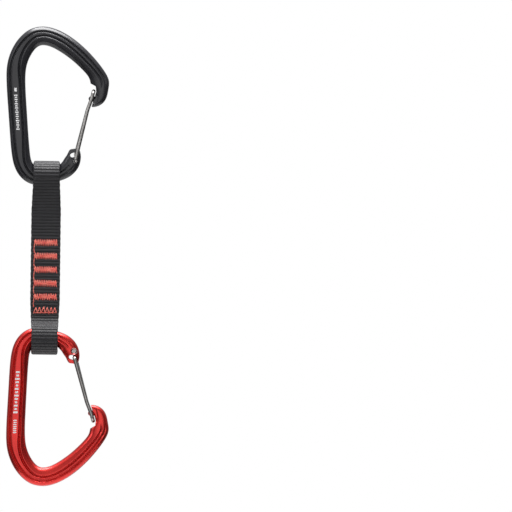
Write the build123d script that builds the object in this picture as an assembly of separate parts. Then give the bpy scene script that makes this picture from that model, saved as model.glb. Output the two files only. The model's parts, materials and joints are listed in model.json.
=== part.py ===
"""Climbing quickdraw: two wiregate carabiners joined by a sewn webbing sling.

Millimetres, +Z up. X runs from the spine of a carabiner to its gate and Y is its thickness.
The origin is the inner apex of the upper carabiner's top basket, where a bolt hanger bears.
"""
from build123d import *
import math
import os
import numpy as np
from scipy.interpolate import CubicSpline

# ---- carabiner body -----------------------------------------------------------------------------
# Centreline of the forging from the hinge lug, along the bar, up the spine, over the top basket and
# down the arm to the nose: x, z, width across the rod, thickness in Y, then the distances from the
# outer edge to the middle of the outer groove and of the inner one, and the inner groove's depth.
FRAME_STATIONS = (
    (19.9, -63.2, 2.0, 3.6, 0.7, 1.2, 0.0),
    (19.9, -63.8, 4.9, 5.0, 1.7, 3.0, 0.0),
    (19.6, -65.1, 7.0, 6.4, 2.2, 4.4, 0.0),
    (19.1, -67.5, 8.5, 7.2, 2.4, 5.0, 0.0),
    (18.0, -70.8, 9.9, 7.6, 2.6, 5.4, 0.0),
    (16.1, -74.1, 10.1, 7.8, 2.8, 5.4, 0.3),
    (13.4, -76.7, 9.6, 8.0, 2.9, 5.3, 0.9),
    (9.7, -79.0, 8.3, 8.2, 2.6, 4.9, 1.1),
    (4.7, -80.5, 8.2, 8.4, 2.5, 4.8, 1.1),
    (-0.6, -80.9, 9.1, 8.4, 2.6, 5.0, 1.1),
    (-5.7, -80.0, 10.5, 8.2, 2.8, 5.6, 1.2),
    (-9.6, -77.1, 11.0, 8.0, 2.8, 6.2, 1.3),
    (-12.3, -72.5, 11.0, 7.8, 2.8, 6.6, 1.4),
    (-13.6, -66.3, 11.2, 7.6, 2.6, 7.3, 1.4),
    (-14.6, -55.0, 11.3, 7.4, 2.4, 8.2, 1.4),
    (-15.8, -37.1, 11.4, 7.4, 2.3, 8.3, 1.4),
    (-16.6, -21.9, 11.6, 7.6, 2.3, 8.3, 1.4),
    (-16.1, -12.7, 11.9, 7.8, 2.4, 7.5, 1.4),
    (-13.5, -4.7, 12.0, 8.0, 2.8, 6.8, 1.4),
    (-9.4, 1.4, 11.8, 8.4, 3.0, 6.3, 1.3),
    (-4.9, 4.8, 11.7, 8.8, 3.0, 5.9, 1.2),
    (0.2, 5.8, 11.5, 9.0, 3.0, 5.6, 1.2),
    (6.4, 4.5, 11.3, 8.8, 3.0, 5.5, 1.2),
    (14.3, 0.3, 11.2, 8.4, 3.0, 5.5, 1.2),
    (22.6, -6.2, 10.7, 8.0, 2.9, 5.4, 1.2),
    (28.8, -12.5, 10.2, 7.8, 2.7, 5.1, 1.1),
    (33.2, -18.5, 10.5, 7.8, 2.5, 4.7, 0.9),
    (35.1, -23.6, 11.2, 7.8, 2.3, 4.5, 0.4),
    (35.8, -27.6, 8.6, 7.8, 2.2, 4.4, 0.0),
    (35.5, -31.0, 7.3, 7.8, 2.1, 4.2, 0.0),
    (34.4, -33.4, 6.3, 7.6, 1.9, 3.6, 0.0),
    (32.8, -34.8, 5.4, 7.4, 1.7, 3.1, 0.0),
    (31.0, -35.4, 5.0, 7.2, 1.5, 2.8, 0.0),
    (29.2, -35.5, 4.7, 7.0, 1.5, 2.8, 0.0),
)
ROD_SQUARENESS = 2.6        # exponent of the superellipse round a rod section; 2 is a plain ellipse
GROOVE_SHARE = 0.065        # half the width of a groove, as a share of the rod's width
OUTER_GROOVE_SHARE = 0.85   # depth of the outer groove, as a share of the inner one's
PANEL_SHARE = 0.3           # how far the panel between the grooves lies back, likewise
OUTER_STEPS = (0.0, 0.02, 0.09, 0.22, 0.42, 0.7, 1.0)       # where the spline is pinned, outside the grooves
INNER_STEPS = (0.75, 0.5, 0.3, 0.15, 0.06, 0.015, 0.0)      # and inside them, as shares of each run

# ---- nose ---------------------------------------------------------------------------------------
SHELF_CORNER = (29.5, -23.6)        # where the arm's inner edge ends and the notch begins
NOTCH_INNER = (32.3, -25.2)         # top inside corner of the notch
SHOULDER_TOP = (32.6, -28.4)        # the gate wires rest against the shoulder below this point
SHOULDER_BOTTOM = (30.0, -36.7)
BEAK_TIP_X = 27.9                   # the beak keys between the two gate wires
BEAK_TOP_Z = -31.1
BEAK_BOTTOM_Z = -34.5
BEAK_THICKNESS = 3.0
BEAK_ROOT_X = 33.4
BEAK_DROOP = 0.2                    # how far the root lies below the tip
BEAK_ROUNDING = 0.6
NOTCH_MOUTH = (22, -24.5)
BELOW_NOSE = ((29.4, -42), (22, -42))
SCOOP = (((32.3, -31.2), 1.5), ((31.6, -34.2), 1.7))    # circles that a side scoop is stretched round
SCOOP_FLOOR = 2.7                   # half thickness left under the scoops beside the shoulder

# ---- wire gate ----------------------------------------------------------------------------------
WIRE_DIAMETER = 2.3
PIVOT = (19.75, -70.9)              # hole for the first wire end, the axis that the gate turns about
OFFSET_HOLE = (20.0, -66.95)       # slot for the second wire end at rest
GATE_BEND = (27.3, -39.6)           # the two legs come side by side here and lean in to the nose
GATE_REST = (29.95, -32.4)          # then they straighten up where they rest on the shoulder
GATE_TIP = (31.05, -28.1)           # centreline of the wire at the crown of its U-bend
GATE_OPEN_ANGLE = 30
POCKET_ANGLES = (0, GATE_OPEN_ANGLE / 2, GATE_OPEN_ANGLE + 2)
LUG_WEB = 4.2                       # thickness left between the two wire pockets of the lug
LEG_OFFSET = 3.6                    # half distance between the legs at the hinge
CROWN_OFFSET = 2.95                 # half distance between the legs at the nose
STUB_BEND = 1.3
LEG_BEND = 20
REST_BEND = 4
STUB_END = 3.3                      # the first wire end reaches this far past the middle of the lug
HOLE_CLEARANCE = 0.08
POCKET_CLEARANCE = 0.35
COUNTERSINK = 3.7
LUG_FACE = 3.65                     # half thickness of the lug at the pivot

# ---- sling --------------------------------------------------------------------------------------
WEBBING_WIDTH = 18.0
# The edges curl in where the webbing wraps a bar: half width, then height above that bar.
UPPER_TRIM = ((7.1, 9.5), (8.1, 7.0), (8.1, -2.0), (9.0, -22.0))
LOWER_TRIM = ((9.0, 22.0), (8.1, 4.0), (8.1, -9.0), (6.9, -11.5))
PLY = 1.7
PLY_PITCH = 1.75                    # from the middle of one stitched ply to the next
UPPER_BAR = (2.2, -79.4)            # axis that the sling's upper loop swings about
LOWER_BAR = (0.9, -179.3)           # axis that the lower carabiner swings about
SLING_LENGTH = math.dist(UPPER_BAR, LOWER_BAR)
SLING_LEAN = math.degrees(math.atan2(UPPER_BAR[0] - LOWER_BAR[0], UPPER_BAR[1] - LOWER_BAR[1]))
UPPER_LOOP_RADIUS = 6.9             # inside of the upper loop
KEEPER_RADIUS = 6.9                 # inside of the rubber keeper
KEEPER_WALL = 1.75
KEEPER_WIDTH = 15.0
KEEPER_EDGE = 0.5                   # rounding of the keeper's long edges
KEEPER_HALF_OPEN = 62               # degrees left open each side of the keeper's top
LOWER_LOOP_RADIUS = KEEPER_RADIUS + KEEPER_WALL + 0.05
SPLIT_DEPTH = 37.6                  # below the upper bar: the plane that the sling twists at
SPLIT_GAP = 0.4
FIRST_TACK_DEPTH = 41.5             # centre of the first bar tack below the upper bar
TACK_PITCH = 8.33
TACK_COUNT = 6
TACK_WIDTH = 14.0
TACK_HEIGHT = 4.4
TACK_SPIKES = 10
LAST_TACK_SPIKES = 6
THREAD = 0.55
LOWER_FLARE = 13.8                  # above the lower bar: where the plies part for the lower loop
TAIL_ANGLE = 30                     # the back ply's end follows the flare through this angle

# The lower carabiner is the upper one turned over, moved down and hanging a little out of true.
LOWER_SHIFT = -258.7
LOWER_LEAN = 0.66

THROUGH = 20                        # half length of a cut that goes right through in Y


def frame_rows():
    """Each station with the direction of a smooth centreline through them all."""
    places = np.array(FRAME_STATIONS)[:, :2]
    steps = np.hypot(*np.diff(places, axis=0).T)
    distance = np.concatenate([[0.0], np.cumsum(steps)])
    return zip(FRAME_STATIONS, CubicSpline(distance, places)(distance, 1))


def section_profile(width, thickness, outer_groove, inner_groove, groove_depth):
    """Front half of a rod section, from the outer edge to the inner one, as (from edge, half depth)."""
    groove = GROOVE_SHARE * width
    ramp = (
        (0, 0),
        (outer_groove - groove, 0),
        (outer_groove, OUTER_GROOVE_SHARE),
        (outer_groove + groove, PANEL_SHARE),
        (inner_groove - groove, PANEL_SHARE),
        (inner_groove, 1),
        (inner_groove + groove, 0),
        (width, 0),
    )
    outer_run = outer_groove - groove
    inner_run = width - inner_groove - groove
    across = [outer_run * share for share in OUTER_STEPS]
    for (start, _), (end, _) in zip(ramp[1:6], ramp[2:7]):
        across.extend((start + (end - start) * share) for share in (0.5, 1.0))
    across.extend(width - inner_run * share for share in INNER_STEPS)
    points = []
    for distance in across:
        share = min(1.0, abs(2 * distance / width - 1))
        envelope = thickness / 2 * (1 - share ** ROD_SQUARENESS) ** (1 / ROD_SQUARENESS)
        points.append((distance, envelope - groove_depth * smooth_ramp(ramp, distance)))
    return points


def smooth_ramp(ramp, distance):
    """Value at a distance, easing in and out between the ramp's (distance, value) points."""
    for (start, before), (end, after) in zip(ramp, ramp[1:]):
        if distance <= end:
            share = (distance - start) / (end - start)
            return before + (after - before) * share * share * (3 - 2 * share)
    return ramp[-1][1]


def profile_run(profile):
    """Distance along a profile from its first point to each of its points."""
    steps = np.hypot(*np.diff(np.array(profile), axis=0).T)
    return np.concatenate([[0.0], np.cumsum(steps)])


def shared_parameters():
    """One set of spline parameters that suits every section, so the loft's surface stays lean."""
    runs = [profile_run(section_profile(*row[2:])) for row in FRAME_STATIONS]
    return np.mean([run / run[-1] for run in runs], axis=0)


def frame_section(row, direction, parameters):
    """Closed wire of one section: a front and a back spline that meet square at both edges."""
    x, z, width = row[:3]
    along = Vector(direction[0], 0, direction[1]).normalized()
    inward = Vector(along.Z, 0, -along.X)
    outer_edge = Vector(x, 0, z) - inward * width / 2
    profile = section_profile(*row[2:])
    forward = Vector(0, float(profile_run(profile)[-1]), 0)
    front = [outer_edge + inward * across - Vector(0, depth, 0) for across, depth in profile]
    back = [outer_edge + inward * across + Vector(0, depth, 0) for across, depth in reversed(profile)]
    there = parameters.tolist()
    back_again = (1 - parameters[::-1]).tolist()
    return Wire([
        Edge.make_spline(front, tangents=[-forward, forward], parameters=there, scale=False),
        Edge.make_spline(back, tangents=[forward, -forward], parameters=back_again, scale=False),
    ])


def plate(outline, low, high):
    """Solid between two Y planes under an XZ outline drawn on the XY plane as (x, z)."""
    upright = Plane.XZ.offset(-high)
    return extrude(upright * outline, high - low)


def hull_of(circles):
    """Outline stretched round a set of circles, each ((x, z), radius)."""
    edges = [edge for centre, radius in circles for edge in (Pos(*centre) * Circle(radius)).edges()]
    return make_hull(edges)


def about_pivot(point, degrees):
    """A point turned about the gate's pivot, opening inwards."""
    turn = math.radians(degrees)
    x = point[0] - PIVOT[0]
    z = point[1] - PIVOT[1]
    return (
        PIVOT[0] + x * math.cos(turn) - z * math.sin(turn),
        PIVOT[1] + x * math.sin(turn) + z * math.cos(turn),
    )


def leg_pocket(start, low, high):
    """Room beside the lug's web for one wire leg, from rest to fully open."""
    radius = WIRE_DIAMETER / 2 + POCKET_CLEARANCE
    circles = []
    for degrees in POCKET_ANGLES:
        circles.append((about_pivot(start, degrees), radius))
        circles.append((about_pivot(GATE_BEND, degrees), radius))
    return plate(hull_of(circles), low, high)


def frame_body():
    parameters = shared_parameters()
    body = Solid.make_loft([frame_section(row, direction, parameters) for row, direction in frame_rows()])
    clear = LUG_WEB / 2
    body -= leg_pocket(PIVOT, -THROUGH, -clear)
    body -= leg_pocket(OFFSET_HOLE, clear, THROUGH)
    hole = WIRE_DIAMETER / 2 + HOLE_CLEARANCE
    body -= plate(Pos(*PIVOT) * Circle(hole), -THROUGH, THROUGH)
    countersink_depth = COUNTERSINK / 2 - hole
    beyond = 1
    countersink = Solid.make_cone(hole, COUNTERSINK / 2 + beyond, countersink_depth + beyond)
    body -= Pos(PIVOT[0], LUG_FACE - countersink_depth, PIVOT[1]) * Rot(-90, 0, 0) * countersink
    slot = [(about_pivot(OFFSET_HOLE, degrees), hole) for degrees in POCKET_ANGLES]
    body -= plate(hull_of(slot), -THROUGH, THROUGH)
    return shape_nose(body)


def shape_nose(body):
    """Cut the notch and the shoulders, then add the beak between the gate wires."""
    notch = Polyline(
        NOTCH_MOUTH, SHELF_CORNER, NOTCH_INNER, SHOULDER_TOP, SHOULDER_BOTTOM, *BELOW_NOSE, close=True
    )
    body -= plate(make_face(notch), -THROUGH, THROUGH)
    for low, high in ((-THROUGH, -SCOOP_FLOOR), (SCOOP_FLOOR, THROUGH)):
        body -= plate(hull_of(SCOOP), low, high)
    beak_height = BEAK_TOP_Z - BEAK_BOTTOM_Z
    tip_radius = beak_height / 2 - 0.1
    beak_z = (BEAK_TOP_Z + BEAK_BOTTOM_Z) / 2
    beak = hull_of([
        ((BEAK_TIP_X + tip_radius, beak_z), tip_radius),
        ((BEAK_ROOT_X, beak_z - BEAK_DROOP), tip_radius),
    ])
    half = BEAK_THICKNESS / 2
    tongue = plate(beak, -half, half)
    faces = tongue.edges().filter_by(lambda edge: abs(edge.center().Y) > half - 0.1)
    return body + fillet(faces, BEAK_ROUNDING)


def gate_wire():
    radius = WIRE_DIAMETER / 2
    stops = (
        (PIVOT, STUB_END),
        (PIVOT, -LEG_OFFSET),
        (GATE_BEND, -CROWN_OFFSET - 0.1),
        (GATE_REST, -CROWN_OFFSET),
        (GATE_TIP, -CROWN_OFFSET),
        (GATE_TIP, CROWN_OFFSET),
        (GATE_REST, CROWN_OFFSET),
        (GATE_BEND, CROWN_OFFSET + 0.1),
        (OFFSET_HOLE, LEG_OFFSET),
        (OFFSET_HOLE, -LUG_WEB / 2 + 0.1),
    )
    points = [Vector(x, y, z) for (x, z), y in stops]
    crown = CROWN_OFFSET - 0.05
    bends = [STUB_BEND, LEG_BEND, REST_BEND, crown, crown, REST_BEND, LEG_BEND, STUB_BEND]
    path = FilletPolyline(*points, radius=bends)
    start = Plane(origin=points[0], z_dir=points[1] - points[0])
    return sweep(start * Circle(radius), path=path)


def to_lower(shape):
    """The lower carabiner: the upper one turned over about the X axis, leant and moved down."""
    return Pos(0, 0, LOWER_SHIFT) * Rot(0, -LOWER_LEAN, 0) * Rot(180, 0, 0) * shape


def sling_place(shape):
    """Place a shape drawn with the upper bar at its origin and the sling hanging along -Z."""
    return Pos(UPPER_BAR[0], 0, UPPER_BAR[1]) * Rot(0, SLING_LEAN, 0) * shape

def flare_radius(ply_offset, loop_radius, reach):
    """Radius of the bend that carries a ply from the stitched pack out to a loop."""
    return (reach ** 2 + ply_offset ** 2 - loop_radius ** 2) / (2 * (loop_radius - ply_offset))


def loop_side(ply_offset, side, loop_radius, reach, bar_below=False):
    """The flare on one side of a loop: its start, a point on it, and where the loop takes over."""
    bar = Vector(0, 0, -SLING_LENGTH if bar_below else 0)
    start = bar + Vector(0, side * ply_offset, reach if bar_below else -reach)
    bend = flare_radius(ply_offset, loop_radius, reach)
    centre = start + Vector(0, side * bend, 0)
    to_start = (start - centre).normalized()
    to_loop = (bar - centre).normalized()
    return start, centre + (to_start + to_loop).normalized() * bend, centre + to_loop * bend


def strip(edges):
    """Webbing of one ply and full width swept along a path in the YZ plane."""
    path = Wire(edges)
    start = path.position_at(0)
    plane = Plane(origin=start, x_dir=(1, 0, 0), z_dir=path.tangent_at(0))
    return sweep(plane * Rectangle(WEBBING_WIDTH, PLY), path=path)


def trim_outline():
    """Outline of the webbing seen from the front: full width, drawn in where it wraps the bars."""
    right = UPPER_TRIM + tuple((half, height - SLING_LENGTH) for half, height in LOWER_TRIM)
    left = tuple((-half, height) for half, height in reversed(right))
    return make_face(Polyline(*right, *left, close=True))


def trimmed(shape):
    return shape & plate(trim_outline(), -THROUGH, THROUGH)


def webbing_top_loop():
    radius = UPPER_LOOP_RADIUS + PLY / 2
    reach = SPLIT_DEPTH - SPLIT_GAP / 2
    front_start, front_middle, front_meet = loop_side(PLY_PITCH, -1, radius, reach)
    back_start, back_middle, back_meet = loop_side(PLY_PITCH, 1, radius, reach)
    edges = [
        ThreePointArc(front_start, front_middle, front_meet),
        ThreePointArc(front_meet, (0, 0, radius), back_meet),
        ThreePointArc(back_meet, back_middle, back_start),
    ]
    return trimmed(strip(edges))


def webbing_strip():
    """Front ply, the lower loop round the keeper, and its end tucked up between the plies."""
    radius = LOWER_LOOP_RADIUS + PLY / 2
    front_start, front_middle, front_meet = loop_side(PLY_PITCH, -1, radius, LOWER_FLARE, bar_below=True)
    inner_start, inner_middle, inner_meet = loop_side(0, 1, radius, LOWER_FLARE, bar_below=True)
    top = Vector(0, -PLY_PITCH, -SPLIT_DEPTH - SPLIT_GAP / 2)
    tucked_end = Vector(0, 0, -FIRST_TACK_DEPTH + TACK_HEIGHT / 2 + 0.6)
    edges = [
        Line(top, front_start),
        ThreePointArc(front_start, front_middle, front_meet),
        ThreePointArc(front_meet, (0, 0, -SLING_LENGTH - radius), inner_meet),
        ThreePointArc(inner_meet, inner_middle, inner_start),
        Line(inner_start, tucked_end),
    ]
    return trimmed(strip(edges))


def tack_depth(index):
    return FIRST_TACK_DEPTH + index * TACK_PITCH


def webbing_back_ply():
    """End of the upper loop on the back, its tail turning out with the lower loop's flare."""
    top = Vector(0, PLY_PITCH, -SPLIT_DEPTH - SPLIT_GAP / 2)
    corner = Vector(0, PLY_PITCH, LOWER_FLARE - SLING_LENGTH)
    bend = flare_radius(0, LOWER_LOOP_RADIUS + PLY / 2, LOWER_FLARE)
    centre = corner + Vector(0, bend - PLY_PITCH, 0)
    tail = [
        centre - Vector(0, math.cos(turn), math.sin(turn)) * (bend - PLY_PITCH)
        for turn in (math.radians(TAIL_ANGLE / 2), math.radians(TAIL_ANGLE))
    ]
    return trimmed(strip([Line(top, corner), ThreePointArc(corner, *tail)]))


def keeper_insert():
    """Rubber saddle that lines the lower loop and grips the bar, open towards the stitching."""
    radius = KEEPER_RADIUS + KEEPER_WALL / 2
    half_open = math.radians(KEEPER_HALF_OPEN)
    side = radius * math.sin(half_open)
    rise = radius * math.cos(half_open)
    arc = ThreePointArc((0, -side, rise), (0, 0, -radius), (0, side, rise))
    path = Wire([arc])
    plane = Plane(origin=path.position_at(0), x_dir=(1, 0, 0), z_dir=path.tangent_at(0))
    saddle = sweep(plane * RectangleRounded(KEEPER_WIDTH, KEEPER_WALL, KEEPER_EDGE), path=path)
    return Pos(0, 0, -SLING_LENGTH) * saddle


def bar_tack(index, face_y, outward):
    """Zigzag of thread lying on one face of the stitched section."""
    spikes = LAST_TACK_SPIKES if index == TACK_COUNT - 1 else TACK_SPIKES
    pitch = TACK_WIDTH / (2 * spikes)
    middle = -tack_depth(index)
    points = []
    for turn in range(2 * spikes + 1):
        z = middle + (TACK_HEIGHT - THREAD) / 2 * (1 if turn % 2 else -1)
        points.append((-TACK_WIDTH / 2 + turn * pitch, z))
    zigzag = trace(Polyline(*points), line_width=THREAD)
    low, high = sorted((face_y, face_y + outward * THREAD))
    return plate(zigzag, low, high)


def build_parts():
    frame = frame_body()
    wire = gate_wire()
    outside = PLY_PITCH + PLY / 2
    parts = {
        "upper_frame": frame,
        "upper_gate_wire": wire,
        "lower_frame": to_lower(frame),
        "lower_gate_wire": to_lower(wire),
        "webbing_top_loop": sling_place(webbing_top_loop()),
        "webbing_strip": sling_place(webbing_strip()),
        "webbing_back_ply": sling_place(webbing_back_ply()),
        "keeper_insert": sling_place(keeper_insert()),
    }
    for index in range(TACK_COUNT):
        name = f"tack_{index + 1}"
        parts[f"{name}_needle_thread"] = sling_place(bar_tack(index, -outside, -1))
        parts[f"{name}_bobbin_thread"] = sling_place(bar_tack(index, outside, 1))
    return parts


os.makedirs("parts", exist_ok=True)
for node, shape in build_parts().items():
    export_step(shape, f"parts/{node}.step")
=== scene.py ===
import bpy
import json
import math
import numpy as np
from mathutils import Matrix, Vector
from mathutils.bvhtree import BVHTree


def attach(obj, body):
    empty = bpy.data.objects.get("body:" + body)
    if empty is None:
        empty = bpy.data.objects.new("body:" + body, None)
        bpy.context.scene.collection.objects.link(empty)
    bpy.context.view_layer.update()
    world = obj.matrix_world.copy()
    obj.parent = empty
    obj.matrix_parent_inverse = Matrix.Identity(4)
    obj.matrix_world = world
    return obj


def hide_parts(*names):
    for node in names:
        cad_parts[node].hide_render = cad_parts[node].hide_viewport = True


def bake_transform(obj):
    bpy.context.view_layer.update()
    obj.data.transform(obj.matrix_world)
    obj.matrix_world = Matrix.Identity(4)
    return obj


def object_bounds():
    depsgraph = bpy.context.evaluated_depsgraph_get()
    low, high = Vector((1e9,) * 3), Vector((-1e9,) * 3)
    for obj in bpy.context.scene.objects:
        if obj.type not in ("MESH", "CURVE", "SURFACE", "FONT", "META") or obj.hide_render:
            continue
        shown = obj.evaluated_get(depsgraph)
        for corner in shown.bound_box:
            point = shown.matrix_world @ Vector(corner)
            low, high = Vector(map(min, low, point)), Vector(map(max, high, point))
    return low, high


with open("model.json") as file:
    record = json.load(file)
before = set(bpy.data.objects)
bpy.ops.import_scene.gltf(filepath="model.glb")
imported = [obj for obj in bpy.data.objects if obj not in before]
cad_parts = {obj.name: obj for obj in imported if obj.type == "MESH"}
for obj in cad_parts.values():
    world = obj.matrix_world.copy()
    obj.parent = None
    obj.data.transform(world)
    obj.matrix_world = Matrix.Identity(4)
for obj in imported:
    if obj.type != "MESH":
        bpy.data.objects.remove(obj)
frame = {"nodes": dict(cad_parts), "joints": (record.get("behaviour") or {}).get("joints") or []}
CAD_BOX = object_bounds()
MM = 0.001
TINY = 1e-9                         # keeps a length that is divided by away from zero
random = np.random.default_rng(7)

# ---- places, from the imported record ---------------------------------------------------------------
JOINTS = {joint["name"]: joint for joint in frame["joints"]}
UPPER_BAR = np.array(JOINTS["sling_swing"]["pos_m"])
LOWER_BAR = np.array(JOINTS["lower_swing"]["pos_m"])
SLING_LENGTH = float(np.linalg.norm(UPPER_BAR - LOWER_BAR)) / MM
ALONG = (LOWER_BAR - UPPER_BAR) / (SLING_LENGTH * MM)
ACROSS = np.array([-ALONG[2], 0.0, ALONG[0]])

# ---- sling, in millimetres ------------------------------------------------------------------------
UPPER_TRIM = ((-22.0, 9.0), (-2.0, 8.1), (7.0, 8.1), (9.5, 7.3))        # height over the bar, half width
LOWER_TRIM = ((-11.5, 7.1), (-9.0, 8.1), (4.0, 8.1), (22.0, 9.0))
PLY = 1.7
PLY_PITCH = 1.75                    # from the middle of one stitched ply to the next
UPPER_RADIUS = 7.75                 # middle of the ply, round the upper bar
LOWER_RADIUS = 9.55                 # and round the keeper on the lower bar
UPPER_FLARE = 37.4                  # below the upper bar: where the plies part for the upper loop
LOWER_FLARE = 13.8                  # above the lower bar: where they part for the lower loop
TUCKED_END = 38.7                   # below the upper bar: the end between the outer plies
TAIL_TURN = math.radians(30)        # the back ply's end follows the flare through this angle
SAMPLE = 0.26                       # longest step along the webbing's mesh
FLAT_COLUMNS = 58                   # vertices across each flat
EDGE_STEPS = 5                      # half the number of steps round each edge
RIB_PITCH = 1.95
RIB_DEPTH = 0.36
YARN_PITCH = 0.62                   # from one warp yarn to the next across a rib
EDGE_WAVER = ((0.06, 1.7, 0.0), (0.05, 0.61, 1.0))      # depth, radians per mm along it, start

# ---- bar tacks, in millimetres --------------------------------------------------------------------
FIRST_TACK = 41.5                   # below the upper bar
TACK_PITCH = 8.33
SPIKES = (10, 10, 10, 10, 10, 6)    # the last tack is a sparse one
TACK_DEPTHS = [FIRST_TACK + TACK_PITCH * index for index in range(len(SPIKES))]
TACK_HEIGHT = 4.4
TACK_WIDTH = 14.0
TACK_SINK = 0.22                    # dent that tight stitches press into the cloth
DENT_EASE = 0.9                     # the dent fades out over this far
PACKED_WITHIN = 0.05                # only plies this near their stitched place are dented
STRAND = 0.18                       # radius of one of the thread's two strands
STRAND_SPREAD = 0.8                 # each strand's distance from the thread's middle, in strand radii
PLY_TWIST = 1.6                     # length of one turn of the strands round each other
TOP_STITCH = (0.24, -0.35)          # height over the dented cloth between its holes, and at them
UNDER_STITCH = (0.06, -0.35)
RUN_STITCH = (0.02, -0.3)
LINK_STITCH = (0.16, -0.5)
TOP_LEAN = 0.14                     # how far the far holes of a zigzag lie along, in spikes
UNDER_LEAN = -0.1
UNDER_HEIGHT = 0.6                  # height of the lower zigzag, as a share of the tack's
HOLE_INSET = 0.25                   # from the tack's long edges to its holes
HOLE_SCATTER = (0.09, 0.13)         # standard deviation of a hole's place across and along the sling
TILT_SCATTER = 0.02                 # and of a tack's slope

# ---- hinge rings and keeper, in millimetres -------------------------------------------------------
RING_PROFILE = (                    # radius, then distance out from the lug's middle
    (1.24, 3.02), (1.5, 3.22), (1.84, 3.66), (1.98, 3.72), (2.06, 3.64), (1.9, 3.5), (1.5, 3.05), (1.25, 2.9),
)
RING_STEPS = 64
KEEPER_RADIUS = 6.9                 # inside of the rubber
KEEPER_WALL = 1.75
KEEPER_HALF_WIDTH = 7.5
KEEPER_HALF_OPEN = math.radians(62)     # left open each side of the keeper's top
KEEPER_ENDS = math.radians(9)           # the wall thins out over this angle at each end
KEEPER_GROOVE = 0.35
KEEPER_GROOVES = 3
KEEPER_EDGE = 0.45                  # rounding of the long edges

# ---- forged bodies, in millimetres ----------------------------------------------------------------
SKIN_GRID = 0.18                    # grid of the remeshed skin
TUMBLE_FACTOR = 0.5                 # how far each pass moves a vertex towards its neighbours' middle
TUMBLE_PASSES = 4
LOWER_SHIFT = -258.7                # the lower carabiner is the upper one turned over, moved down by this
LOWER_LEAN = math.radians(-0.66)    # and leant by this
SPINE_LINE = (                      # (x, z) down the middle of the spine's panel
    (-14.5, -62.0), (-15.05, -55.0), (-16.3, -37.1), (-17.2, -21.9), (-16.85, -12.7),
)
MARK_GRID = (5, 7)                  # vertices along and across each bar of the marks
MARK_PROUD = 0.02
MARK_SUNK = 0.15
RAY_START = -50                     # a place well in front of the metal

# ---- studio, in metres ----------------------------------------------------------------------------
CAMERA_PLACE = (0.13057, -1.5, -0.12916)
VIEW_WIDTH = 0.3139
FLOOR_Z = CAD_BOX[0].z - 0.5
FLOOR_RADIUS = 0.7
FLOOR_SIDES = 96
MIDDLE = (0.01, 0.0, -0.13)         # of the quickdraw, which the lights point at
WORLD_BASE = 0.06
STUDIO_GLOWS = (                    # towards x, y, z, then how narrow and how bright
    (0.0, 0.0, 1.0, 5.0, 3.2),
    (0.0, -1.0, 0.0, 18.0, 1.35),
    (0.0, -0.9, 0.43, 6.0, 0.35),
    (-0.9, -0.3, 0.3, 6.0, 0.55),
    (0.0, 1.0, 0.0, 4.0, 0.8),
    (0.94, 0.0, 0.34, 8.0, 0.25),
)


# ---- small helpers --------------------------------------------------------------------------------
def mesh_piece(name, vertices, faces, material, uv=None):
    """A smooth mesh object from vertices in metres; uv gives each vertex its place on the cloth, in mm."""
    mesh = bpy.data.meshes.new(name)
    mesh.from_pydata([tuple(map(float, v)) for v in vertices], [], [tuple(map(int, f)) for f in faces])
    mesh.update()
    if uv is not None:
        layer = mesh.uv_layers.new(name="cloth")
        corners = np.empty(len(mesh.loops), np.int32)
        mesh.loops.foreach_get("vertex_index", corners)
        layer.data.foreach_set("uv", np.asarray(uv, np.float32)[corners].ravel())
    mesh.materials.append(material)
    mesh.shade_smooth()
    piece = bpy.data.objects.new(name, mesh)
    bpy.context.scene.collection.objects.link(piece)
    return piece


def tube_faces(rings, sides, first=0):
    """Quads that skin a run of rings of vertices, with a cap at each end."""
    index = first + np.arange(rings * sides).reshape(rings, sides)
    here, there = index[:-1], index[1:]
    quads = np.stack([here, np.roll(here, -1, 1), np.roll(there, -1, 1), there], axis=-1).reshape(-1, 4)
    return quads.tolist() + [index[0][::-1].tolist(), index[-1].tolist()]


def sling_point(x, y, z):
    """Metres in the row frame, from millimetres with the upper bar at the origin and the sling down -Z."""
    x, y, z = (np.asarray(value, float)[..., None] for value in (x, y, z))
    return UPPER_BAR + MM * (x * ACROSS + y * np.array([0.0, 1.0, 0.0]) - z * ALONG)


class Nodes:
    """A material's node tree, with one short call for each node."""

    def __init__(self, name, **sockets):
        self.material = bpy.data.materials.new(name)
        self.material.use_nodes = True
        self.tree = self.material.node_tree
        self.shader = self.tree.nodes["Principled BSDF"]
        for socket, value in sockets.items():
            self.shader.inputs[socket.replace("_", " ")].default_value = value

    def add(self, kind, *, inputs=None, **settings):
        """A new node with its settings, and a value or a link for each socket in inputs."""
        node = self.tree.nodes.new("ShaderNode" + kind)
        for key, value in settings.items():
            setattr(node, key, value)
        for socket, value in (inputs or {}).items():
            if isinstance(value, bpy.types.NodeSocket):
                self.tree.links.new(value, node.inputs[socket])
            else:
                node.inputs[socket].default_value = value
        return node

    def math(self, operation, first, second=0.0):
        return self.add("Math", operation=operation, inputs={0: first, 1: second}).outputs[0]

    def ramp(self, value, low, high, dark, light):
        """A number from low to high turned into a colour between two."""
        node = self.add("ValToRGB", inputs={0: value})
        first, last = node.color_ramp.elements
        first.position, first.color = low, (*dark, 1)
        last.position, last.color = high, (*light, 1)
        return node.outputs[0]

    def spread(self, value, low, high):
        """A 0 to 1 number turned into one from low to high."""
        return self.add("MapRange", inputs={0: value, 3: low, 4: high}).outputs[0]

    def noise(self, place, scale, detail=2.0):
        """Soft random spots, with scale of them to a metre of Object coordinates."""
        return self.add("TexNoise", inputs={"Vector": place, "Scale": scale, "Detail": detail}).outputs[0]

    def bump(self, height, distance, strength=1.0, under=None):
        """A normal bent by a height, over another bump where one is given."""
        inputs = {"Height": height, "Distance": distance, "Strength": strength}
        if under is not None:
            inputs["Normal"] = under
        return self.add("Bump", inputs=inputs).outputs[0]

    def wire(self, output, socket):
        """Link an output to one of the shader's own sockets."""
        self.tree.links.new(output, self.shader.inputs[socket])


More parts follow.
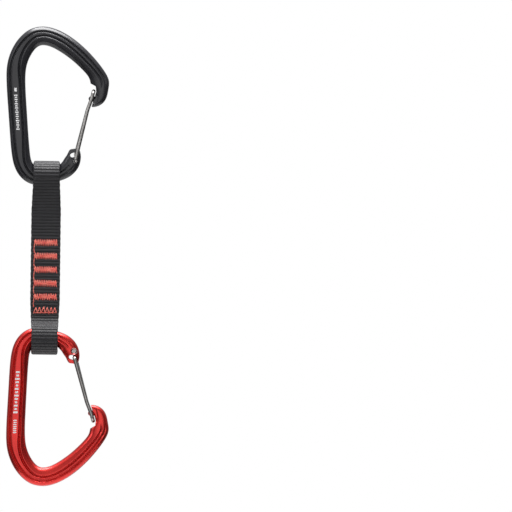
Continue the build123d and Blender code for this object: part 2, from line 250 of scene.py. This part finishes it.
# ---- materials ------------------------------------------------------------------------------------
def anodised(name, dark, light, metallic, roughness, coat):
    """Tumbled and dyed aluminium: a fine grain, with slow changes of gloss and of depth of colour."""
    nodes = Nodes(name, Metallic=metallic, Coat_Weight=coat, Coat_Roughness=0.18, IOR=1.5)
    place = nodes.add("TexCoord").outputs["Object"]
    cloudy = nodes.noise(place, 70.0, 3.0)
    grain = nodes.noise(place, 5200.0, 2.0)
    nodes.wire(nodes.ramp(cloudy, 0.3, 0.7, dark, light), "Base Color")
    mixed = nodes.math("ADD", nodes.math("MULTIPLY", cloudy, 0.6), nodes.math("MULTIPLY", grain, 0.4))
    nodes.wire(nodes.spread(mixed, roughness - 0.06, roughness + 0.08), "Roughness")
    nodes.wire(nodes.bump(grain, 0.00002, 0.35), "Normal")
    return nodes.material


def drawn_steel():
    """Stainless wire: fine draw lines along its length and slightly uneven polish."""
    nodes = Nodes("gate_wire_steel", Metallic=1.0)
    place = nodes.add("TexCoord").outputs["Object"]
    stretched = nodes.add("Mapping", inputs={"Vector": place, "Scale": (1.0, 1.0, 0.03)}).outputs[0]
    lines = nodes.noise(stretched, 9000.0, 2.0)
    cloudy = nodes.noise(place, 260.0, 2.0)
    nodes.wire(nodes.ramp(cloudy, 0.3, 0.75, (0.27, 0.262, 0.255), (0.42, 0.41, 0.40)), "Base Color")
    nodes.wire(nodes.spread(lines, 0.24, 0.38), "Roughness")
    nodes.wire(nodes.bump(lines, 0.000004, 0.25), "Normal")
    return nodes.material


def woven_webbing():
    """Black nylon webbing: warp yarns side by side over each rib, with painted shade in the furrows between
    ribs and yarns.
    """
    nodes = Nodes("ribbed_webbing", Sheen_Weight=0.05, Sheen_Roughness=0.5, Specular_IOR_Level=0.5)
    nodes.shader.inputs["Sheen Tint"].default_value = (0.6, 0.6, 0.66, 1)
    cloth = nodes.add("UVMap", uv_map="cloth").outputs[0]
    split = nodes.add("SeparateXYZ", inputs={0: cloth})
    across, along = split.outputs[0], split.outputs[1]
    rib = nodes.math("ABSOLUTE", nodes.math("COSINE", nodes.math("MULTIPLY", along, math.pi / RIB_PITCH)))
    row = nodes.math("FLOOR", nodes.math("ADD", nodes.math("DIVIDE", along, RIB_PITCH), 0.5))
    shifted = nodes.math("ADD", across, nodes.math("MULTIPLY", row, YARN_PITCH / 2))
    wave = nodes.math("SINE", nodes.math("MULTIPLY", shifted, math.pi / YARN_PITCH))
    yarn = nodes.math("ABSOLUTE", wave)
    fibres_place = nodes.add("Mapping", inputs={"Vector": cloth, "Scale": (9.0, 1.1, 1.0)}).outputs[0]
    fibres = nodes.noise(fibres_place, 1.0, 4.0)
    patches = nodes.noise(cloth, 0.16, 3.0)
    # painted shade: rib and yarn darken the colour in the furrows between ribs and the gaps between yarns;
    # fibres and patches give the cloth's own uneven tone
    shade = nodes.math("MULTIPLY", nodes.math("POWER", rib, 0.7), nodes.spread(yarn, 0.55, 1.0))
    shade = nodes.math("MULTIPLY", shade, nodes.spread(fibres, 0.6, 1.35))
    shade = nodes.math("MULTIPLY", shade, nodes.spread(patches, 0.75, 1.25))
    nodes.wire(nodes.ramp(shade, 0.05, 1.0, (0.0012, 0.0012, 0.0015), (0.017, 0.0166, 0.021)), "Base Color")
    nodes.wire(nodes.spread(shade, 0.8, 0.42), "Roughness")
    coarse = nodes.bump(nodes.math("MULTIPLY", yarn, rib), 0.00009, 0.9)
    nodes.wire(nodes.bump(fibres, 0.00003, 0.6, coarse), "Normal")
    return nodes.material


def stitching_thread():
    """Bonded red polyester thread: filaments along each strand, a soft gloss, and painted highlights as
    random pale orange patches.
    """
    nodes = Nodes("red_thread", Sheen_Weight=0.4, Sheen_Roughness=0.4)
    nodes.shader.inputs["Sheen Tint"].default_value = (1.0, 0.55, 0.5, 1)
    place = nodes.add("TexCoord").outputs["Object"]
    filaments = nodes.noise(place, 7000.0, 2.0)
    painted_highlight_patches = nodes.noise(place, 420.0, 2.0)
    shade = nodes.math("ADD", nodes.math("MULTIPLY", filaments, 0.4), nodes.math("MULTIPLY", painted_highlight_patches, 0.6))
    # painted highlight: the ramp's pale orange end, laid on in random patches, stands in for the thread's
    # gloss
    nodes.wire(nodes.ramp(shade, 0.3, 0.7, (0.72, 0.04, 0.035), (1.0, 0.34, 0.26)), "Base Color")
    nodes.wire(nodes.spread(filaments, 0.42, 0.62), "Roughness")
    nodes.wire(nodes.bump(filaments, 0.00003, 0.6), "Normal")
    return nodes.material


def moulded_rubber():
    """Dark rubber: cloudy, matt and finely pored."""
    nodes = Nodes("keeper_rubber", IOR=1.45)
    place = nodes.add("TexCoord").outputs["Object"]
    cloudy = nodes.noise(place, 180.0, 3.0)
    pores = nodes.noise(place, 4200.0, 2.0)
    nodes.wire(nodes.ramp(cloudy, 0.3, 0.7, (0.008, 0.008, 0.009), (0.02, 0.02, 0.021)), "Base Color")
    nodes.wire(nodes.spread(pores, 0.5, 0.72), "Roughness")
    nodes.wire(nodes.bump(pores, 0.00004, 0.5), "Normal")
    return nodes.material


def laser_mark():
    """Pale mark left where the dye is burnt off by a laser: speckled and matt."""
    nodes = Nodes("laser_mark", Metallic=0.2)
    place = nodes.add("TexCoord").outputs["Object"]
    speckle = nodes.noise(place, 3800.0, 3.0)
    nodes.wire(nodes.ramp(speckle, 0.3, 0.65, (0.6, 0.6, 0.61), (0.9, 0.9, 0.91)), "Base Color")
    nodes.wire(nodes.spread(speckle, 0.5, 0.75), "Roughness")
    return nodes.material


BLACK = anodised("black_anodised", (0.012, 0.012, 0.0145), (0.019, 0.019, 0.0235), 0.0, 0.25, 0.0)
RED = anodised("red_anodised", (0.50, 0.012, 0.010), (0.64, 0.020, 0.014), 0.85, 0.24, 0.5)
STEEL = drawn_steel()
WEBBING = woven_webbing()
THREAD = stitching_thread()
RUBBER = moulded_rubber()
MARK = laser_mark()

for wire in ("upper_gate_wire", "lower_gate_wire"):
    for material_slot in frame["nodes"][wire].material_slots:
        material_slot.material = STEEL


# ---- forged bodies --------------------------------------------------------------------------------
def forged_body(name, node, body, material):
    """A copy of the CAD forging with its cut edges softened, as tumbling does before the anodising."""
    source = frame["nodes"][node]
    rough = bpy.data.objects.new(name + "_source", source.data.copy())
    bpy.context.scene.collection.objects.link(rough)
    remesh = rough.modifiers.new("even_skin", "REMESH")
    remesh.mode = "VOXEL"
    remesh.voxel_size = SKIN_GRID * MM
    smooth = rough.modifiers.new("tumbled", "SMOOTH")
    smooth.factor = TUMBLE_FACTOR
    smooth.iterations = TUMBLE_PASSES
    bpy.context.view_layer.update()
    graph = bpy.context.evaluated_depsgraph_get()
    mesh = bpy.data.meshes.new_from_object(rough.evaluated_get(graph))
    bpy.data.objects.remove(rough)
    mesh.name = name
    mesh.materials.clear()
    mesh.materials.append(material)
    mesh.shade_smooth()
    piece = bpy.data.objects.new(name, mesh)
    bpy.context.scene.collection.objects.link(piece)
    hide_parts(node)
    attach(piece, body)


forged_body("upper_forging", "upper_frame", "upper_carabiner", BLACK)
forged_body("lower_forging", "lower_frame", "lower_carabiner", RED)


def hinge_ring(name, joint, body, side):
    """Bare metal rim round the countersunk wire end: a small turned ring about the gate's axis."""
    centre = np.array(JOINTS[joint]["pos_m"]) / MM
    profile = np.array(RING_PROFILE)
    turns = np.linspace(0, 2 * math.pi, RING_STEPS, endpoint=False)
    x = centre[0] + profile[None, :, 0] * np.cos(turns)[:, None]
    z = centre[2] + profile[None, :, 0] * np.sin(turns)[:, None]
    y = np.broadcast_to(side * profile[None, :, 1], x.shape)
    index = np.arange(x.size).reshape(x.shape)
    around = np.roll(index, -1, 0)
    quads = np.stack([index, np.roll(index, -1, 1), np.roll(around, -1, 1), around], axis=-1).reshape(-1, 4)
    if side < 0:
        quads = quads[:, ::-1]
    piece = mesh_piece(name, MM * np.stack([x, y, z], axis=-1).reshape(-1, 3), quads.tolist(), STEEL)
    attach(piece, body)


hinge_ring("upper_hinge_ring", "upper_gate_hinge", "upper_carabiner", 1)
hinge_ring("lower_hinge_ring", "lower_gate_hinge", "lower_carabiner", -1)


# ---- webbing --------------------------------------------------------------------------------------
def flare_bend(offset, radius, reach):
    """Radius and turn of the bend that carries a ply from the stitched pack out to a loop."""
    bend = (reach ** 2 + offset ** 2 - radius ** 2) / (2 * (radius - offset))
    return bend, math.atan2(reach, offset + bend)


def webbing_path():
    """The whole strip from the back ply's tail, over the upper bar, round the lower one, to its tucked end.

    Gives arrays of the distance along it, its (y, z) place and its heading.
    """
    upper_bend, upper_turn = flare_bend(PLY_PITCH, UPPER_RADIUS, UPPER_FLARE)
    front_bend, front_turn = flare_bend(PLY_PITCH, LOWER_RADIUS, LOWER_FLARE)
    inner_bend, inner_turn = flare_bend(0.0, LOWER_RADIUS, LOWER_FLARE)
    tail_radius = inner_bend - PLY_PITCH
    stitched = SLING_LENGTH - LOWER_FLARE - UPPER_FLARE
    runs = (  # length, then turn to the left in radians
        (tail_radius * TAIL_TURN, -TAIL_TURN),
        (stitched, 0.0),
        (upper_bend * upper_turn, -upper_turn),
        (UPPER_RADIUS * (math.pi + 2 * upper_turn), math.pi + 2 * upper_turn),
        (upper_bend * upper_turn, -upper_turn),
        (stitched, 0.0),
        (front_bend * front_turn, -front_turn),
        (LOWER_RADIUS * (math.pi + front_turn + inner_turn), math.pi + front_turn + inner_turn),
        (inner_bend * inner_turn, -inner_turn),
        (SLING_LENGTH - LOWER_FLARE - TUCKED_END, 0.0),
    )
    place = np.array([
        PLY_PITCH + tail_radius * (1 - math.cos(TAIL_TURN)),
        LOWER_FLARE - SLING_LENGTH - tail_radius * math.sin(TAIL_TURN),
    ])
    heading = math.pi / 2 + TAIL_TURN
    distances, places, headings = [0.0], [place], [heading]
    total = 0.0
    for length, turn in runs:
        steps = max(2, math.ceil(length / SAMPLE))
        step = length / steps
        half_turn = turn / steps / 2
        chord = step if turn == 0 else step * math.sin(half_turn) / half_turn
        for _ in range(steps):
            middle = heading + half_turn
            place = place + chord * np.array([math.cos(middle), math.sin(middle)])
            heading += turn / steps
            total += step
            distances.append(total)
            places.append(place)
            headings.append(heading)
    return np.array(distances), np.array(places), np.array(headings)


def half_width(z):
    """Half the webbing's width at a height: drawn in where it wraps the bars."""
    lower_heights, lower_halves = np.transpose(LOWER_TRIM)
    upper_heights, upper_halves = np.transpose(UPPER_TRIM)
    heights = np.concatenate([lower_heights - SLING_LENGTH, upper_heights])
    return np.interp(z, heights, np.concatenate([lower_halves, upper_halves]))


def cross_section():
    """Closed outline of the webbing: rows of (share of the flat's half width, reach past it, side)."""
    flat = np.linspace(-1, 1, FLAT_COLUMNS)
    turns = np.linspace(0, math.pi, 2 * EDGE_STEPS + 1)[1:-1]
    outer = np.stack([flat, np.zeros(FLAT_COLUMNS), np.ones(FLAT_COLUMNS)], axis=1)
    right = np.stack([np.ones(len(turns)), np.sin(turns), np.cos(turns)], axis=1)
    return np.concatenate([outer, right, outer[::-1] * (1, 1, -1), right * (-1, -1, -1)])


def tack_window(x, z):
    """1 over the bar tacks and 0 away from them, for the dent that tight stitches leave."""
    window = np.zeros(np.broadcast(x, z).shape)
    for depth in TACK_DEPTHS:
        away_z = np.clip((np.abs(z + depth) - TACK_HEIGHT / 2 + DENT_EASE / 3) / DENT_EASE, 0, 1)
        away_x = np.clip((np.abs(x) - TACK_WIDTH / 2) / DENT_EASE, 0, 1)
        window = np.maximum(window, (1 - away_z) * (1 - away_x))
    return window * window * (3 - 2 * window)


def build_webbing():
    """One strip with rounded edges, cross ribs, a slight waver of its edges and a dent at each tack."""
    distances, places, headings = webbing_path()
    outline = cross_section()
    side = outline[:, 2][None, :]
    half = half_width(places[:, 1])[:, None]
    waver = sum(depth * np.sin(distances * rate + phase)[:, None] for depth, rate, phase in EDGE_WAVER)
    x = outline[:, 0][None, :] * (half - PLY / 2) + outline[:, 1][None, :] * (PLY / 2 + waver)
    crest = np.sqrt(0.5 + 0.5 * np.cos(2 * math.pi * distances / RIB_PITCH))[:, None]
    flatness = np.clip(1 - np.abs(outline[:, 1])[None, :], 0.25, 1)
    thickness = PLY / 2 - RIB_DEPTH * (1 - crest) * flatness
    packed = np.abs(np.abs(places[:, 0]) - PLY_PITCH)[:, None] < PACKED_WITHIN
    dent = TACK_SINK * tack_window(x, places[:, 1][:, None]) * packed * (side > 0)
    offset = side * thickness - dent
    outward = np.stack([np.sin(headings), -np.cos(headings)], axis=1)
    y = places[:, 0][:, None] + offset * outward[:, 0][:, None]
    z = places[:, 1][:, None] + offset * outward[:, 1][:, None]
    vertices = sling_point(x, y, z).reshape(-1, 3)
    uv = np.stack([x, np.broadcast_to(distances[:, None], x.shape)], axis=-1).reshape(-1, 2)
    piece = mesh_piece("sling_webbing", vertices, tube_faces(*x.shape), WEBBING, uv)
    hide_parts("webbing_top_loop", "webbing_strip", "webbing_back_ply")
    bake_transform(piece)


build_webbing()


# ---- bar tacks ------------------------------------------------------------------------------------
def stitch_line(stops, proud, sunk, samples=20):
    """Points of a thread that passes through the cloth at each stop and lies over it in between."""
    share = np.linspace(0, 1, samples, endpoint=False)
    lift = sunk + (proud - sunk) * (1 - np.abs(2 * share - 1) ** 5)
    line = []
    for start, end in zip(stops, stops[1:]):
        plan = np.array(start)[None, :] * (1 - share[:, None]) + np.array(end)[None, :] * share[:, None]
        line.append(np.column_stack([plan, lift]))
    return np.concatenate(line)


def twisted_thread(line, face, sides=6):
    """Two strands twisted round a line of (x, z, height over the cloth), on the front or back face."""
    places = np.stack([line[:, 0], face * (PLY_PITCH + PLY / 2 - TACK_SINK + line[:, 2]), line[:, 1]], axis=1)
    tangents = np.gradient(places, axis=0)
    steps = np.linalg.norm(tangents, axis=1, keepdims=True)
    tangents /= np.maximum(steps, TINY)
    normals = np.cross(tangents, np.cross(np.array([0.0, face, 0.0]), tangents))
    lengths = np.linalg.norm(normals, axis=1, keepdims=True)
    normals = np.where(lengths > 0.2, normals / np.maximum(lengths, TINY), np.array([1.0, 0.0, 0.0]))
    sideways = np.cross(tangents, normals)
    run = np.concatenate([[0], np.cumsum(np.linalg.norm(np.diff(places, axis=0), axis=1))])
    vertices, faces = [], []
    for strand in (0, math.pi):
        twist = (2 * math.pi * run / PLY_TWIST + strand)[:, None]
        core = places + STRAND_SPREAD * STRAND * (np.cos(twist) * normals + np.sin(twist) * sideways)
        angles = np.linspace(0, 2 * math.pi, sides, endpoint=False)[None, :, None]
        ring = np.cos(angles) * normals[:, None, :] + np.sin(angles) * sideways[:, None, :]
        faces.extend(tube_faces(len(core), sides, first=sum(map(len, vertices))))
        vertices.append((core[:, None, :] + STRAND * ring).reshape(-1, 3))
    return np.concatenate(vertices), faces


def zigzag(middle, spikes, height, phase, lean):
    """Holes of a zigzag across the sling: each spike leans, and no two are quite alike."""
    pitch = TACK_WIDTH / spikes
    stops = []
    for turn in range(2 * spikes + 1):
        at_top = (turn + phase) % 2
        x = -TACK_WIDTH / 2 + pitch * (turn / 2 + (lean if at_top else 0)) + random.normal(0, HOLE_SCATTER[0])
        z = middle + (height / 2 - HOLE_INSET) * (1 if at_top else -1) + random.normal(0, HOLE_SCATTER[1])
        stops.append((float(np.clip(x, -TACK_WIDTH / 2, TACK_WIDTH / 2)), z))
    return stops


def link_stitch(middle):
    """The loose stitch down the left edge, from one tack to the next."""
    left = -TACK_WIDTH / 2
    below = middle - TACK_HEIGHT / 2
    gap = TACK_PITCH - TACK_HEIGHT
    link = [(left + 0.1, below + 0.4), (left - 0.25, below - gap / 2), (left + 0.15, below - gap - 0.4)]
    return stitch_line(link, *LINK_STITCH)


def build_tack(index, face, thread_name):
    """One bar tack on one face: a tall zigzag, a dense tack's lower one, and a straight run through both."""
    middle = -TACK_DEPTHS[index]
    spikes = SPIKES[index]
    dense = spikes == max(SPIKES)
    tilt = random.normal(0, TILT_SCATTER)
    parts = [stitch_line(zigzag(middle, spikes, TACK_HEIGHT, 0, TOP_LEAN), *TOP_STITCH)]
    if dense:
        under = zigzag(middle, spikes + 1, TACK_HEIGHT * UNDER_HEIGHT, 1, UNDER_LEAN)
        parts.append(stitch_line(under, *UNDER_STITCH))
    run = [(-TACK_WIDTH / 2 + 0.5, middle - 0.5), (TACK_WIDTH / 2 - 0.5, middle - 0.3)]
    run = run if dense else [(x, z - 1.0) for x, z in run]
    parts.append(stitch_line(run, *RUN_STITCH, samples=60))
    if index < len(TACK_DEPTHS) - 1:
        parts.append(link_stitch(middle))
    vertices, faces = [], []
    for line in parts:
        line[:, 1] += tilt * line[:, 0]
        new_vertices, new_faces = twisted_thread(line, face)
        base = sum(map(len, vertices))
        faces.extend([[corner + base for corner in corners] for corners in new_faces])
        vertices.append(new_vertices)
    points = np.concatenate(vertices)
    world = sling_point(points[:, 0], points[:, 1], points[:, 2])
    piece = mesh_piece(f"tack_{index + 1}_{thread_name}", world, faces, THREAD)
    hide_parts(f"tack_{index + 1}_{thread_name}_thread")
    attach(piece, "sling")


for tack in range(len(TACK_DEPTHS)):
    build_tack(tack, -1, "needle")
    build_tack(tack, 1, "bobbin")


# ---- keeper ---------------------------------------------------------------------------------------
def build_keeper():
    """Rubber saddle inside the lower loop: grooved, with a raised lip at each edge and thinned ends."""
    turns = np.linspace(KEEPER_HALF_OPEN, 2 * math.pi - KEEPER_HALF_OPEN, 121)
    columns = np.linspace(-1, 1, 31)
    lip = np.clip((np.abs(columns) - 0.8) / 0.12, 0, 1)
    grooves = 0.5 + 0.5 * np.cos(2 * math.pi * columns * KEEPER_GROOVES)
    inner = KEEPER_EDGE * np.clip((np.abs(columns) - 0.95) / 0.05, 0, 1) ** 2
    outer = KEEPER_WALL - KEEPER_GROOVE * (1 - lip) * (0.4 + 0.6 * grooves) - inner
    ease = np.clip(np.minimum(turns - turns[0], turns[-1] - turns) / KEEPER_ENDS, 0, 1)
    thin = 0.35 + 0.65 * np.sqrt(1 - (1 - ease) ** 2)
    across = np.concatenate([columns, columns[::-1]]) * KEEPER_HALF_WIDTH
    rise = np.concatenate([outer, inner[::-1]])
    radius = KEEPER_RADIUS + KEEPER_WALL / 2 + (rise[None, :] - KEEPER_WALL / 2) * thin[:, None]
    y = radius * np.sin(turns)[:, None]
    z = radius * np.cos(turns)[:, None] - SLING_LENGTH
    x = np.broadcast_to(across, y.shape)
    vertices = sling_point(x, y, z).reshape(-1, 3)
    piece = mesh_piece("keeper_saddle", vertices, tube_faces(*y.shape), RUBBER)
    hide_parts("keeper_insert")
    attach(piece, "sling")


build_keeper()


# ---- marks on the spines --------------------------------------------------------------------------
def carabiner_point(x, z, lower):
    """(x, z) in the row frame, in mm, for a point drawn on the upright carabiner."""
    if not lower:
        return x, z
    return (
        x * math.cos(LOWER_LEAN) - z * math.sin(LOWER_LEAN),
        -x * math.sin(LOWER_LEAN) - z * math.cos(LOWER_LEAN) + LOWER_SHIFT,
    )


def bar_points(surface, z, length, width, lower):
    """A grid of points on the metal under one bar, row by row."""
    line_x, line_z = zip(*SPINE_LINE)
    rows, columns = MARK_GRID
    points = []
    for i in range(rows):
        for j in range(columns):
            here = z + length * (i / (rows - 1) - 0.5)
            x = float(np.interp(here, line_z, line_x)) + width * (j / (columns - 1) - 0.5)
            row_x, row_z = carabiner_point(x, here, lower)
            start = Vector((row_x * MM, RAY_START * MM, row_z * MM))
            points.append(surface.ray_cast(start, Vector((0, 1, 0)))[0])
    return points


def build_marks(name, node, body, bars, lower):
    """Plain bars along the middle of the spine, each (z, length, width), laid on the metal."""
    source = frame["nodes"][node].data
    surface = BVHTree.FromPolygons(
        [v.co for v in source.vertices], [p.vertices[:] for p in source.polygons]
    )
    rows, columns = MARK_GRID
    count = rows * columns
    flip = -1 if lower else 1
    vertices, faces = [], []
    for bar in bars:
        base = len(vertices)
        tops = bar_points(surface, *bar, lower)
        vertices.extend((p.x, p.y - MARK_PROUD * MM, p.z) for p in tops)
        vertices.extend((p.x, p.y + MARK_SUNK * MM, p.z) for p in tops)
        grid = base + np.arange(count).reshape(rows, columns)
        for i in range(rows - 1):
            for j in range(columns - 1):
                quad = [grid[i, j], grid[i, j + 1], grid[i + 1, j + 1], grid[i + 1, j]][::flip]
                faces.append(quad)
                faces.append([corner + count for corner in reversed(quad)])
        rim = [*grid[0, :], *grid[1:, -1], *grid[-1, -2::-1], *grid[-2:0:-1, 0]][::flip]
        for start, end in zip(rim, rim[1:] + rim[:1]):
            faces.append([end, start, start + count, end + count])
    piece = mesh_piece(name, vertices, faces, MARK)
    piece.data.shade_flat()
    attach(piece, body)


# each bar: z of its middle, its length down the spine and its width across it
upper_bars = [(-27.2, 2.2, 1.5)]
upper_bars += [(-30.6 - 1.3 * k, 0.75, (2.0, 1.4, 1.8, 1.2)[k % 4]) for k in range(17)]
build_marks("upper_spine_marks", "upper_frame", "upper_carabiner", upper_bars, lower=False)
lower_bars = [(-58.5 + 2.05 * k, 1.15, (2.3, 1.7, 2.6, 2.0, 1.4)[k % 5]) for k in range(13)]
lower_bars += [(-29.0 + 1.25 * k, 0.7, 2.0) for k in range(7)]
build_marks("lower_spine_marks", "lower_frame", "lower_carabiner", lower_bars, lower=True)


# ---- camera, floor and light ----------------------------------------------------------------------
camera = bpy.data.objects.new("camera", bpy.data.cameras.new("camera"))
bpy.context.scene.collection.objects.link(camera)
camera.data.type = "ORTHO"
camera.data.ortho_scale = VIEW_WIDTH
camera.location = CAMERA_PLACE
camera.rotation_euler = (math.pi / 2, 0, 0)
bpy.context.scene.camera = camera


def pale_floor():
    """A round, plain floor some way below the hanging quickdraw."""
    turns = np.linspace(0, 2 * math.pi, FLOOR_SIDES, endpoint=False)
    height = np.full(FLOOR_SIDES, FLOOR_Z)
    ring = np.column_stack([FLOOR_RADIUS * np.cos(turns), FLOOR_RADIUS * np.sin(turns), height])
    nodes = Nodes("pale_floor")
    place = nodes.add("TexCoord").outputs["Object"]
    cloudy = nodes.noise(place, 3.0, 2.0)
    nodes.wire(nodes.ramp(cloudy, 0.3, 0.7, (0.8, 0.8, 0.8), (0.83, 0.83, 0.83)), "Base Color")
    nodes.wire(nodes.spread(cloudy, 0.8, 0.9), "Roughness")
    mesh_piece("floor", ring, [list(range(FLOOR_SIDES))], nodes.material)


pale_floor()


def soft_light(name, place, width, depth, watts):
    """A rectangular soft box that faces the quickdraw."""
    data = bpy.data.lights.new(name, "AREA")
    data.energy = watts
    data.shape = "RECTANGLE"
    data.size = width
    data.size_y = depth
    light = bpy.data.objects.new(name, data)
    bpy.context.scene.collection.objects.link(light)
    light.location = place
    light.rotation_euler = (Vector(MIDDLE) - Vector(place)).to_track_quat("-Z", "Y").to_euler()


soft_light("overhead", (0.05, -0.02, 0.6), 0.5, 0.7, 14.0)
soft_light("left_fill", (-0.9, -0.7, 0.3), 0.5, 0.5, 2.0)


def studio_world():
    """A studio seen in the gloss: brightest overhead, then in front and behind, and dark below.

    The background itself is plain white.
    """
    world = bpy.data.worlds.new("studio")
    bpy.context.scene.world = world
    world.use_nodes = True
    tree = world.node_tree
    place = tree.nodes.new("ShaderNodeTexCoord")
    split = tree.nodes.new("ShaderNodeSeparateXYZ")
    tree.links.new(place.outputs["Generated"], split.inputs[0])

    def math_node(operation, first, second):
        node = tree.nodes.new("ShaderNodeMath")
        node.operation = operation
        for socket, value in enumerate((first, second)):
            if isinstance(value, bpy.types.NodeSocket):
                tree.links.new(value, node.inputs[socket])
            else:
                node.inputs[socket].default_value = value
        return node.outputs[0]

    def glow(x, y, z, narrowness, strength):
        """Strength times how nearly a ray points at (x, y, z), raised to the power that narrows it."""
        facing = math_node("MULTIPLY", split.outputs[0], x)
        facing = math_node("ADD", facing, math_node("MULTIPLY", split.outputs[1], y))
        facing = math_node("ADD", facing, math_node("MULTIPLY", split.outputs[2], z))
        lobe = math_node("POWER", math_node("MAXIMUM", facing, 0.0), narrowness)
        return math_node("MULTIPLY", lobe, strength)

    light = WORLD_BASE
    for lobe in STUDIO_GLOWS:
        light = math_node("ADD", light, glow(*lobe))
    background = tree.nodes["Background"]
    background.inputs["Color"].default_value = (1, 1, 1, 1)
    seen = tree.nodes.new("ShaderNodeBackground")
    seen.inputs["Color"].default_value = (1, 1, 1, 1)
    tree.links.new(light, background.inputs["Strength"])
    ray = tree.nodes.new("ShaderNodeLightPath")
    mix = tree.nodes.new("ShaderNodeMixShader")
    tree.links.new(ray.outputs["Is Camera Ray"], mix.inputs[0])
    tree.links.new(background.outputs[0], mix.inputs[1])
    tree.links.new(seen.outputs[0], mix.inputs[2])
    tree.links.new(mix.outputs[0], tree.nodes["World Output"].inputs["Surface"])


studio_world()
bpy.context.scene.view_settings.view_transform = "Standard"
